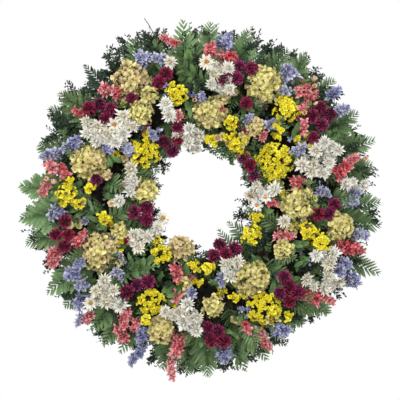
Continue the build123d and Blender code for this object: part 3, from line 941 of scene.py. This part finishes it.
def toothed_leaflet(width, bend):
    """A leaflet of a fern frond whose edge is cut into teeth that point to its tip."""
    leaflet = petal(LEAFLET_LENGTH, width, 2 * TEETH, 2, 0.3, 0.35, bend=bend, cup=0.3, ripple=0.5)
    rows = leaflet.points.reshape(2 * TEETH + 1, 3, 3)
    rows[0::2, :, 1] *= 0.6
    rows[1::2, :, 1] *= 1.15
    rows[1::2, (0, 2), 0] += 1.5
    return leaflet


def smooth_leaflet(width, bend, columns, widest, cup, ripple):
    return petal(LEAFLET_LENGTH, width, 5, columns, widest, 0.35, bend=bend, cup=cup, ripple=ripple)


# width and bend of each leaflet
TOOTHED = [toothed_leaflet(*size) for size in ((7.5, 0.25), (6.5, -0.25), (8.0, 0.4), (7.0, 0.1))]
WIDE_TOOTHED = [toothed_leaflet(*size) for size in ((10.5, 0.2), (9.5, -0.25), (11.0, 0.35))]
NARROW = [smooth_leaflet(7.5, bend, 2, 0.42, 0.3, 0.6) for bend in (0.25, -0.2, 0.4)]
BROAD = [smooth_leaflet(13, bend, 4, 0.4, 0.25, 0.8) for bend in (0.2, -0.25, 0.35)]

# A frond's style is its leaflets, how many pairs of them, its half width and its tint.
USUAL_FERN = (TOOTHED, 20, 40, 0.35)
FERN_STYLES = (  # those of the fronds in some ranges of the clock
    ((331, 360), (NARROW, 13, 38, 0.3)),
    ((156, 173), (NARROW, 15, 38, 0.3)),
    ((228, 243), (NARROW, 17, 40, 0.1)),
    ((125, 146), (WIDE_TOOTHED, 17, 42, 0.1)),
    ((261, 277), (WIDE_TOOTHED, 19, 44, 0.0)),
    ((285, 312), (TOOTHED, 20, 40, 0.8)),
    ((312, 331), (NARROW, 20, 30, 0.5)),
)
LONG_FERN = (108, 116)  # the clock range of the frond that runs out past the others
LONG_FERN_STRETCH = 17
DARK_FERNS = (308, 331)  # the clock range of the fronds that have dried nearly black
HIDDEN_STALK = 34  # how far a frond's stalk runs in under the flowers


def frond(root, tip, style, level_tint=0.0):
    """A frond from its root to its tip, facing the viewer, on a stalk that starts before its root."""
    kinds, pairs, half_width, tint = style
    run = tip - root
    length = np.linalg.norm(run)
    direction = run / length
    hidden = root - direction * HIDDEN_STALK
    normal, side = facing(direction)
    droop = normal * rng.uniform(3, 9)
    share = np.linspace(0.04, 0.98, pairs)
    line = hidden * (1 - share[:, None]) + tip * share[:, None] + 4 * (share * (1 - share))[:, None] * droop
    taper = np.clip(1.5 * (1.07 - share) ** 0.8, 0.14, 1.0)
    pieces = [tube(bowed(hidden, tip, droop, 8), np.linspace(1.1, 0.3, 8), 5, tint=tint)]
    for way in (-1, 1):
        angle = np.radians(60 - 26 * share) + rng.normal(size=pairs) * 0.06
        alongs = direction * np.cos(angle)[:, None] + way * side * np.sin(angle)[:, None]
        alongs = alongs + normal * rng.normal(size=pairs)[:, None] * 0.1
        ups = leaning(np.broadcast_to(normal, (pairs, 3)), 0.16)
        sizes = half_width / 30 * taper * rng.uniform(0.9, 1.08, pairs)
        tints = varied(tint + level_tint, 0.12, pairs)
        for number in range(pairs):
            kind = one_of(kinds)
            place = line[number] + direction * (0.4 * way * length / pairs / 2)
            pieces.append(placed(kind, place, alongs[number], ups[number], sizes[number], tints[number]))
    pieces.append(placed(kinds[0], tip - direction * 4, direction, normal, 0.28, tint))
    return joined(pieces)


for node, ending, points in planted("fern_fronds"):
    root, tip = sorted(long_ends(points)[:2], key=reach_of)
    clock = clock_of(tip)
    style = next((style for clocks, style in FERN_STYLES if within(clock, clocks)), USUAL_FERN)
    past_rim = max(0, reach_of(tip) - rim(clock) - 4)
    stretch = LONG_FERN_STRETCH if within(clock, LONG_FERN) else -past_rim
    tip = tip + unit(tip - root) * stretch
    paint = DARK_LEAF if within(clock, DARK_FERNS) else FERN
    publish(f"fern_{ending}", frond(root, tip, style, rng.uniform(-0.2, 0.2)), [paint], node)


# --- leaves and small fronds on the face of the wreath ---

BIG_FRONDS = (205, 236)  # the clock range of the face leaves that are broad fern fronds
SMOOTH_LEAVES = (240, 290)  # and of those that are fans of three big smooth leaves
FANS = np.array([0.0, 0.62, -0.58])[:, None]  # radians that the three are turned aside


def smooth_fan(root, tip, width, tint):
    run = tip - root
    direction = unit(run)
    normal, side = facing(direction)
    big = petal(np.linalg.norm(run) * 0.72, width * 1.05, 8, 4, 0.42, 0.4, bend=-0.35, cup=0.22, ripple=1.0)
    starts = root + run * np.array([[0.3], [0.22], [0.14]])
    alongs = leaning(direction * np.cos(FANS) + side * np.sin(FANS), 0.06)
    ups = leaning(np.tile(normal, (3, 1)), 0.15)
    leaves = placed(big, starts, alongs, ups, [1.0, 0.78, 0.7], tint)
    return joined([leaves, tube(bowed(root, root + run * 0.5, normal, 4), 0.8, 5, tint=0.8)])


def face_frond(root, tip, style, rise, skipped):
    """A frond whose root skips some millimetres and whose tip rises some millimetres."""
    direction = unit(tip - root)
    return frond(root + direction * skipped + FRONT * rise / 2, tip + direction * 4 + FRONT * rise, style)


for number, points in enumerate(solids_of("face_leaves"), start=1):
    one, two, width = long_ends(points)
    root, tip = sorted((one, two), key=lambda end: depth_of(end) - bed(reach_of(end)))
    clock = clock_of(tip)
    if within(clock, SMOOTH_LEAVES):
        shape = smooth_fan(root, tip, width, 0.8)
    else:
        tint = rng.uniform(0.1, 0.5)
        if within(clock, BIG_FRONDS):
            shape = face_frond(root, tip, (BROAD, 7, 1.3 * width, 0.0), 26, 10)
        else:
            shape = face_frond(root, tip, (TOOTHED, 10, 0.9 * width, tint), 12, 26)
    paint = FERN if within(clock, BIG_FRONDS) else LEAF
    publish(f"face_leaf_{number:02}", shape, [paint], "face_leaves")


# --- dark fine-leaved sprays ---

SMALL_LEAVES = [
    petal(8.2, 3.8, 2, 2, 0.5, 0.35, bend=0.3, cup=0.3),
    petal(6.8, 3.6, 2, 2, 0.5, 0.45, bend=-0.3, cup=0.3),
]


def twig(start, end, leaves, leaf_size, tint):
    """A thin twig with small leaves along both sides."""
    run = end - start
    length = np.linalg.norm(run)
    direction = run / length
    bow = rng.normal(size=3) * length * 0.05
    share = (np.arange(leaves) + rng.uniform(0.2, 0.8, leaves)) / leaves
    share = 0.12 + 0.88 * share[:, None]
    places = start + run * share + 4 * share * (1 - share) * bow
    normal, side = facing(direction)
    way = np.where(np.arange(leaves) % 2 == 0, 1.0, -1.0)[:, None]
    alongs = leaning(direction * 0.72 + way * side * 0.7, 0.3)
    ups = leaning(np.broadcast_to(normal, (leaves, 3)), 0.5)
    sizes = leaf_size * rng.uniform(0.7, 1.2, leaves) * (1.1 - 0.45 * share[:, 0])
    tints = varied(tint, 0.2, leaves)
    leafy = placed(one_of(SMALL_LEAVES), places, alongs, ups, sizes, tints)
    return [tube(bowed(start, end, bow, 5), np.linspace(0.7, 0.25, 5), 4, tint=tint), leafy]


def spray(root, tip, spread, twigs, leaves, leaf_size, tint):
    """A forked spray of dark leaves that fans out sideways as it runs to its tip."""
    run = tip - root
    direction = unit(run)
    normal, side = facing(direction)
    pieces = twig(root, tip, leaves + 6, leaf_size, tint)
    for number in range(twigs):
        leave = rng.uniform(0.05, 0.8)
        way = 1 if number % 2 == 0 else -1
        start = root + run * leave
        reach_out = rng.uniform(0.35, 0.8) * (1.15 - leave)
        end = start + run * reach_out * 0.8 + side * way * spread * rng.uniform(0.35, 1.0)
        end = end + normal * rng.uniform(-4, 16)
        pieces += twig(start, end, leaves, leaf_size, np.clip(tint + rng.normal() * 0.15, 0, 1))
    return joined(pieces)


LOW_SPRAYS = (190, 290)  # the clock range in which the sprays lie behind the ferns

for node, ending, points in planted("dark_sprays"):
    root, tip = sorted(long_ends(points)[:2], key=reach_of)
    root = root - unit(tip - root) * 14
    clock = clock_of(tip)
    forward = 3 if within(clock, LOW_SPRAYS) else 16
    tip = tip + unit(tip - root) * (rim(clock) + rng.uniform(-18, 4) - reach_of(tip))
    tip = tip + FRONT * rng.uniform(0, forward)
    root = root + FRONT * rng.uniform(0, forward / 3)
    fullness = rng.uniform(0.4, 0.9)
    shape = spray(root, tip, 36 * fullness, round(22 * fullness), 22, 1.2, rng.uniform(0, 0.8))
    publish(f"dark_spray_{ending}", shape, [DARK_LEAF], node)

INNER_FERNS = (125, 155)  # in this clock range the inner sprays are small ferns
INNER_FERN_STYLE = (TOOTHED, 17, 30, 0.3)
INNER_FERN_REACH = 60
SWEPT_SPRAYS = 60  # up to this clock they lie along the rim of the hole
LONG_SPRAYS = (84, 125)  # and in this clock range they reach far into the hole

for number, points in enumerate(solids_of("dark_sprays_inner"), start=1):
    tip, root = sorted(long_ends(points)[:2], key=reach_of)
    clock = clock_of(tip)
    tip = tip + (tip - root) * rng.uniform(-0.15, 0.2) + FRONT * rng.uniform(-2, 12)
    if within(clock, LONG_SPRAYS):
        tip = spot(clock, rng.uniform(56, 68), depth_of(tip))
    swept = clock < SWEPT_SPRAYS
    if swept:
        root = spot(clock - 16, 112, depth_of(root) + 14)
        tip = spot(clock + 22, 88, depth_of(tip) + 14)
    shape = spray(root, tip, 14, 14 if swept else 9, 13, 0.95, rng.uniform(0, 0.6))
    if within(clock, INNER_FERNS):
        shape = frond(root, spot(clock, INNER_FERN_REACH, depth_of(tip) + 10), INNER_FERN_STYLE)
    paint = FERN if swept or within(clock, INNER_FERNS) else DARK_LEAF
    publish(f"dark_spray_inner_{number:02}", shape, [paint], "dark_sprays_inner")


# --- bunches of greens bound on the frame: a near-black core that is painted shade, long stalks, and leaves all round ---

BUNCH_PAINTS = {  # what a kind of leaf, sprig or floret in the bunches is painted with
    "bed": BED_LEAF_AND_SHADE,
    "stalks": STEM,
    "fern": FERN,
    "dark": DARK_LEAF,
    "straw": HYDRANGEA,
    "coral": CORAL,
    "blue": BLUE,
    "yellow": STATICE,
    "leafy": LEAF,
    "white": EVERLASTING,
}
BUNCH_LEAVES = [petal(26, 10, 4, 2, 0.45, 0.3, bend=bend, cup=0.3, ripple=0.8) for bend in (0.5, -0.4, 0.2)]
STALK_BUNDLE = (152, -4, 13)  # reach and depth of its middle, and its radius
STALKS = 24
CORE_MIDDLE = (169, 17)  # reach and depth
CORE_HALF = (45, 14)
CORE_ROWS = 12
CORE_SIDES = 22
PARTING = 160  # the greens at a smaller reach point inward, and the others outward
BED_LEAVES = 260
FRONT_LEAVES = 150  # how many of them are on the front
FRONT_REACH = (116, 222)
BACK_REACH = (122, 216)
CLEAR_BACK_REACH = (167, 214)  # of back leaves that would else lie behind the stalks

SPRIGS = 40
SPRIG_REACH = (104, 238)
FERN_SPRIG_STYLE = (TOOTHED, 9, 22, 0.3)
GREEN_SPRIGS = ("fern", "leafy", "leafy", "fine", "dark", "dark", "dark", "stalks")
FLORET_SPRIGS = ("straw", "straw", "coral", "blue", "yellow")
FLORET_SPRIG_SHARE = 0.24
FLORET_SPRIG_REACH = (125, 218)
SPRIG_PARTS = 5  # florets, leaves or stalks in one sprig

# florets of the small flowering sprigs, and their size
SPRIG_FLORETS = {
    "straw": (HYDRANGEA_FLORETS, 0.8),
    "coral": (LARKSPUR_FLORETS, 0.75),
    "blue": (LARKSPUR_FLORETS, 0.75),
    "yellow": (STATICE_CLUMPS, 0.9),
    "white": (CLOSED_KINDS, 0.62),
}

# clock, reach and kind of the small flowers that fill the widest gaps between the heads
GAP_FLOWERS = (
    (10, 101, "yellow"), (16, 106, "straw"), (22, 104, "straw"), (13, 114, "white"), (31, 106, "yellow"),
    (350, 92, "white"), (356, 99, "white"), (344, 104, "white"), (49, 170, "yellow"), (278, 219, "yellow"),
    (144, 238, "yellow"), (150, 230, "straw"), (40, 106, "yellow"), (35, 122, "straw"), (27, 118, "yellow"),
)
GAP_FLOWER_SUNK = 8
RIM_SPRAYS = (13, 19, 42, 52, 82, 124, 172, 216, 221, 236, 260, 300, 310, 328, 343, 356)  # their clocks
RIM_FRONDS = ((208, 288), (214, 292), (220, 284), (12, 290))  # clock and reach of their tips
RIM_FROND_STYLE = (NARROW, 15, 36, 0.1)
RIM_SPRAY_FOOT = (212, 12)  # reach and depth
RIM_FROND_FOOT = (208, 26)


def in_bunch(clock, first, last):
    """Whether a clock is between a bunch's first and last clock, which may lie across the top."""
    return abs(clock_gap(clock, (first + last) / 2)) <= (last - first) / 2


def bunch_painted(shape, kind):
    return shape.painted(list(BUNCH_PAINTS).index(kind))


def sprig_kind(reach):
    """Kind of a sprig that stands at a reach, and how far it is sunk below the flowers' faces."""
    if rng.uniform(0, 1) < FLORET_SPRIG_SHARE and within(reach, FLORET_SPRIG_REACH):
        return rng.choice(FLORET_SPRIGS), rng.uniform(13, 25)
    return rng.choice(GREEN_SPRIGS), rng.uniform(11, 27)


def filler_sprig(clock, reach, kind, sunk):
    """A small sprig that stands between the flowers."""
    foot = spot(clock, reach, bed(reach) - 6)
    top = spot(clock, reach, crown(reach) - sunk)
    up = leaning(unit(top - foot), 0.2)
    away = outward(clock) * np.sign(reach - PARTING)
    pieces = [stem(foot, top, 0.8, tint=rng.uniform(0, 1))]
    if kind in ("fine", "dark"):
        out = leaning(unit(away + FRONT * 0.8), 0.35)
        start = top - FRONT * 10
        for _ in range(3):
            end = start + leaning(out, 0.45) * rng.uniform(20, 32)
            sprig = joined(twig(start, end, 12, 1.15, rng.uniform(0, 1)))
            pieces.append(bunch_painted(sprig, "dark" if kind == "dark" else "fern"))
    elif kind == "leafy":
        alongs = leaning(np.tile(away, (SPRIG_PARTS, 1)), 0.8)
        ups = leaning(np.tile(FRONT, (SPRIG_PARTS, 1)), 0.35)
        spots = top + rng.normal(size=(SPRIG_PARTS, 3)) * 5 - alongs * 10
        leaf = one_of(BUNCH_LEAVES)
        sizes = rng.uniform(0.7, 1.0, SPRIG_PARTS)
        tints = rng.uniform(0, 0.5, SPRIG_PARTS)
        pieces.append(bunch_painted(placed(leaf, spots, alongs, ups, sizes, tints), kind))
    elif kind == "fern":
        out = leaning(unit(away + FRONT * 0.5), 0.4)
        root = top - FRONT * 9 + out * (HIDDEN_STALK - 14)
        small = frond(root, root + out * 14, FERN_SPRIG_STYLE, rng.uniform(-0.1, 0.5))
        pieces.append(bunch_painted(small, kind))
    elif kind in SPRIG_FLORETS:
        florets, size = SPRIG_FLORETS[kind]
        ups = leaning(np.tile(up, (SPRIG_PARTS, 1)), 0.5)
        spins = spun(ups)
        spots = top + rng.normal(size=(SPRIG_PARTS, 3)) * 5
        floret = one_of(florets)
        tints = rng.uniform(0, 1, SPRIG_PARTS)
        pieces.append(bunch_painted(placed(floret, spots, spins, ups, size, tints), kind))
    else:
        for _ in range(SPRIG_PARTS):
            end = top + leaning(up, 0.5) * rng.uniform(4, 12)
            pieces.append(stem(foot, end, 0.6, tint=rng.uniform(0, 1)))
    return pieces


def bunch_shade_core(first, last):
    """The inside of a bunch, a lumpy bar along the ring that is closed at both ends, painted near-black as
    the shade in the gaps between the flowers.
    """
    steps = np.linspace(first - 0.9, last + 0.9, CORE_ROWS)
    turn = np.linspace(0, 2 * math.pi, CORE_SIDES, endpoint=False)
    lumps = 1 + 0.1 * rng.normal(size=(CORE_ROWS, CORE_SIDES))
    lumps[[0, -1]] *= 0.86
    reach = CORE_MIDDLE[0] + CORE_HALF[0] * np.cos(turn) * lumps
    depth = CORE_MIDDLE[1] + CORE_HALF[1] * np.sin(turn) * lumps
    rows = spot(steps[:, None], reach, depth)
    middles = rows.mean(axis=1, keepdims=True)
    caps = middles + (rows - middles) * 0.02
    rows = np.concatenate([caps[:1], rows, caps[-1:]])
    return grid_shape(rows, np.zeros(rows.shape), wrap=True)


def bunch_stalk(first, last):
    """A long stalk that runs along the frame inside the stalk bundle."""
    steps = 7
    angle = rng.uniform(0, 2 * math.pi)
    away = STALK_BUNDLE[2] * math.sqrt(rng.uniform(0, 1)) - 1
    along = np.linspace(first - rng.uniform(-3, 5), last + rng.uniform(-3, 5), steps)
    wander = rng.normal(size=2) * 2
    reach = STALK_BUNDLE[0] + away * math.cos(angle) + np.linspace(-1, 1, steps) * wander[0]
    depth = STALK_BUNDLE[1] + away * math.sin(angle) + np.linspace(-1, 1, steps) * wander[1]
    depth = np.maximum(depth, STALK_BUNDLE[1] - STALK_BUNDLE[2] - 0.5)
    stalk = tube(spot(along, reach, depth), rng.uniform(0.9, 1.6), 6, tint=rng.uniform(0, 1))
    return bunch_painted(stalk, "stalks")


def bunch_leaves(first, last):
    """The leaves on the front and the back of a bunch's core."""
    clock = rng.uniform(first - 1, last + 1, BED_LEAVES)
    front = np.arange(BED_LEAVES) < FRONT_LEAVES
    reach = np.where(front, rng.uniform(*FRONT_REACH, BED_LEAVES), rng.uniform(*BACK_REACH, BED_LEAVES))
    across = np.clip((reach - CORE_MIDDLE[0]) / (CORE_HALF[0] + 6), -1, 1)
    bulge = CORE_HALF[1] * np.sqrt(1 - across**2)
    depth = CORE_MIDDLE[1] + np.where(front, bulge + rng.uniform(-3, 3, BED_LEAVES), -bulge)
    behind_stalks = ~front & (np.abs(reach - STALK_BUNDLE[0]) < STALK_BUNDLE[2] + 1)
    reach = np.where(behind_stalks, rng.uniform(*CLEAR_BACK_REACH, BED_LEAVES), reach)
    out = outward(clock)
    way = np.where(reach > PARTING, 1.0, -1.0)[:, None]
    sideways = np.cross(out, FRONT) * rng.normal(size=BED_LEAVES)[:, None] * 0.8
    ups = leaning(np.where(front[:, None], FRONT, -FRONT) + out * across[:, None] * 0.4, 0.3)
    alongs = unit(out * way + sideways + ups * rng.uniform(-0.05, 0.25, BED_LEAVES)[:, None])
    tints = np.clip(rng.uniform(-0.2, np.where(front, 1.0, 0.75), BED_LEAVES), 0, 1)
    kinds = rng.integers(0, len(BUNCH_LEAVES), BED_LEAVES)
    places = spot(clock, reach, depth)
    leaves = []
    for kind, leaf in enumerate(BUNCH_LEAVES):
        chosen = kinds == kind
        sizes = rng.uniform(0.6, 1.05, chosen.sum())
        leaves.append(placed(leaf, places[chosen], alongs[chosen], ups[chosen], sizes, tints[chosen]))
    return leaves


for number, points in enumerate(solids_of("foliage_bunches"), start=1):
    middle = clock_of(points.mean(axis=0))
    from_middle = clock_gap(clock_of(points), middle)
    first, last = middle + from_middle.min(), middle + from_middle.max()
    pieces = [bunch_shade_core(first, last)]
    pieces += [bunch_stalk(first, last) for _ in range(STALKS)]
    pieces += bunch_leaves(first, last)
    for _ in range(SPRIGS):
        reach = rng.uniform(*SPRIG_REACH)
        pieces += filler_sprig(rng.uniform(first - 2, last + 2), reach, *sprig_kind(reach))
    for clock, reach, kind in GAP_FLOWERS:
        if in_bunch(clock, first, last):
            pieces += filler_sprig(clock, reach, kind, GAP_FLOWER_SUNK)
    for clock in RIM_SPRAYS:
        if in_bunch(clock, first, last):
            foot, tip = spot(clock, *RIM_SPRAY_FOOT), spot(clock, rim(clock) + 2, 18)
            thin = spray(foot, tip, 15, 9, 14, 1.15, rng.uniform(0.3, 0.9))
            pieces.append(bunch_painted(thin, "dark"))
    for clock, reach in RIM_FRONDS:
        if in_bunch(clock, first, last):
            foot, tip = spot(clock, *RIM_FROND_FOOT), spot(clock, reach, 34)
            pieces.append(bunch_painted(frond(foot, tip, RIM_FROND_STYLE, 0.1), "fern"))
    name = f"foliage_bunch_{number:02}"
    publish(name, joined(pieces), list(BUNCH_PAINTS.values()), "foliage_bunches")


# --- floor, light and camera ---

FLOOR_DROP = 1.0  # metres from the ring's middle down to the floor
FLOOR_RADIUS = 4

bpy.ops.mesh.primitive_circle_add(
    vertices=96, radius=FLOOR_RADIUS, fill_type="NGON", location=(0, 0, CENTRE[2] * MM - FLOOR_DROP)
)
floor = bpy.context.object
floor.name = "floor"
floor_material, tree, shader, place = new_material("pale_floor")
tone = ramp(tree, noise(tree, place, 3.0), (0.3, 0.7), ((232, 232, 230), (238, 238, 236)))
feed(tree, shader.inputs["Base Color"], tone)
feed(tree, shader.inputs["Roughness"], 0.8)
floor.data.materials.append(floor_material)

world = bpy.data.worlds.new("studio")
bpy.context.scene.world = world
world.use_nodes = True
background = world.node_tree.nodes["Background"]
background.inputs["Color"].default_value = (1, 1, 1, 1)
background.inputs["Strength"].default_value = 1.0


def soft_light(name, place, size, power):
    data = bpy.data.lights.new(name, "AREA")
    data.size = size
    data.energy = power
    light = bpy.data.objects.new(name, data)
    bpy.context.scene.collection.objects.link(light)
    light.location = place
    middle = Vector(CENTRE * MM)
    light.rotation_euler = (middle - Vector(place)).to_track_quat("-Z", "Y").to_euler()


soft_light("key", (-0.9, -1.6, 1.0), 0.9, 24)
soft_light("fill", (1.4, -1.6, 0.2), 1.2, 6)

bpy.context.scene.view_settings.view_transform = "Standard"

LENS = 200  # millimetres; a long lens, because the view is nearly flat
SENSOR = 36
VIEW_WIDTH = 0.6667  # metres across the picture, at the flowers' faces
FACES_DEPTH = 0.05
AIM_RIGHT = -0.0025
AIM_UP = -0.0008

camera_data = bpy.data.cameras.new("camera")
camera_data.lens = LENS
camera_data.sensor_width = SENSOR
camera_data.dof.use_dof = False
camera = bpy.data.objects.new("camera", camera_data)
bpy.context.scene.collection.objects.link(camera)
distance = VIEW_WIDTH * LENS / SENSOR
camera.location = (AIM_RIGHT, -FACES_DEPTH - distance, CENTRE[2] * MM + AIM_UP)
camera.rotation_euler = (math.radians(90), 0, 0)
bpy.context.scene.camera = camera
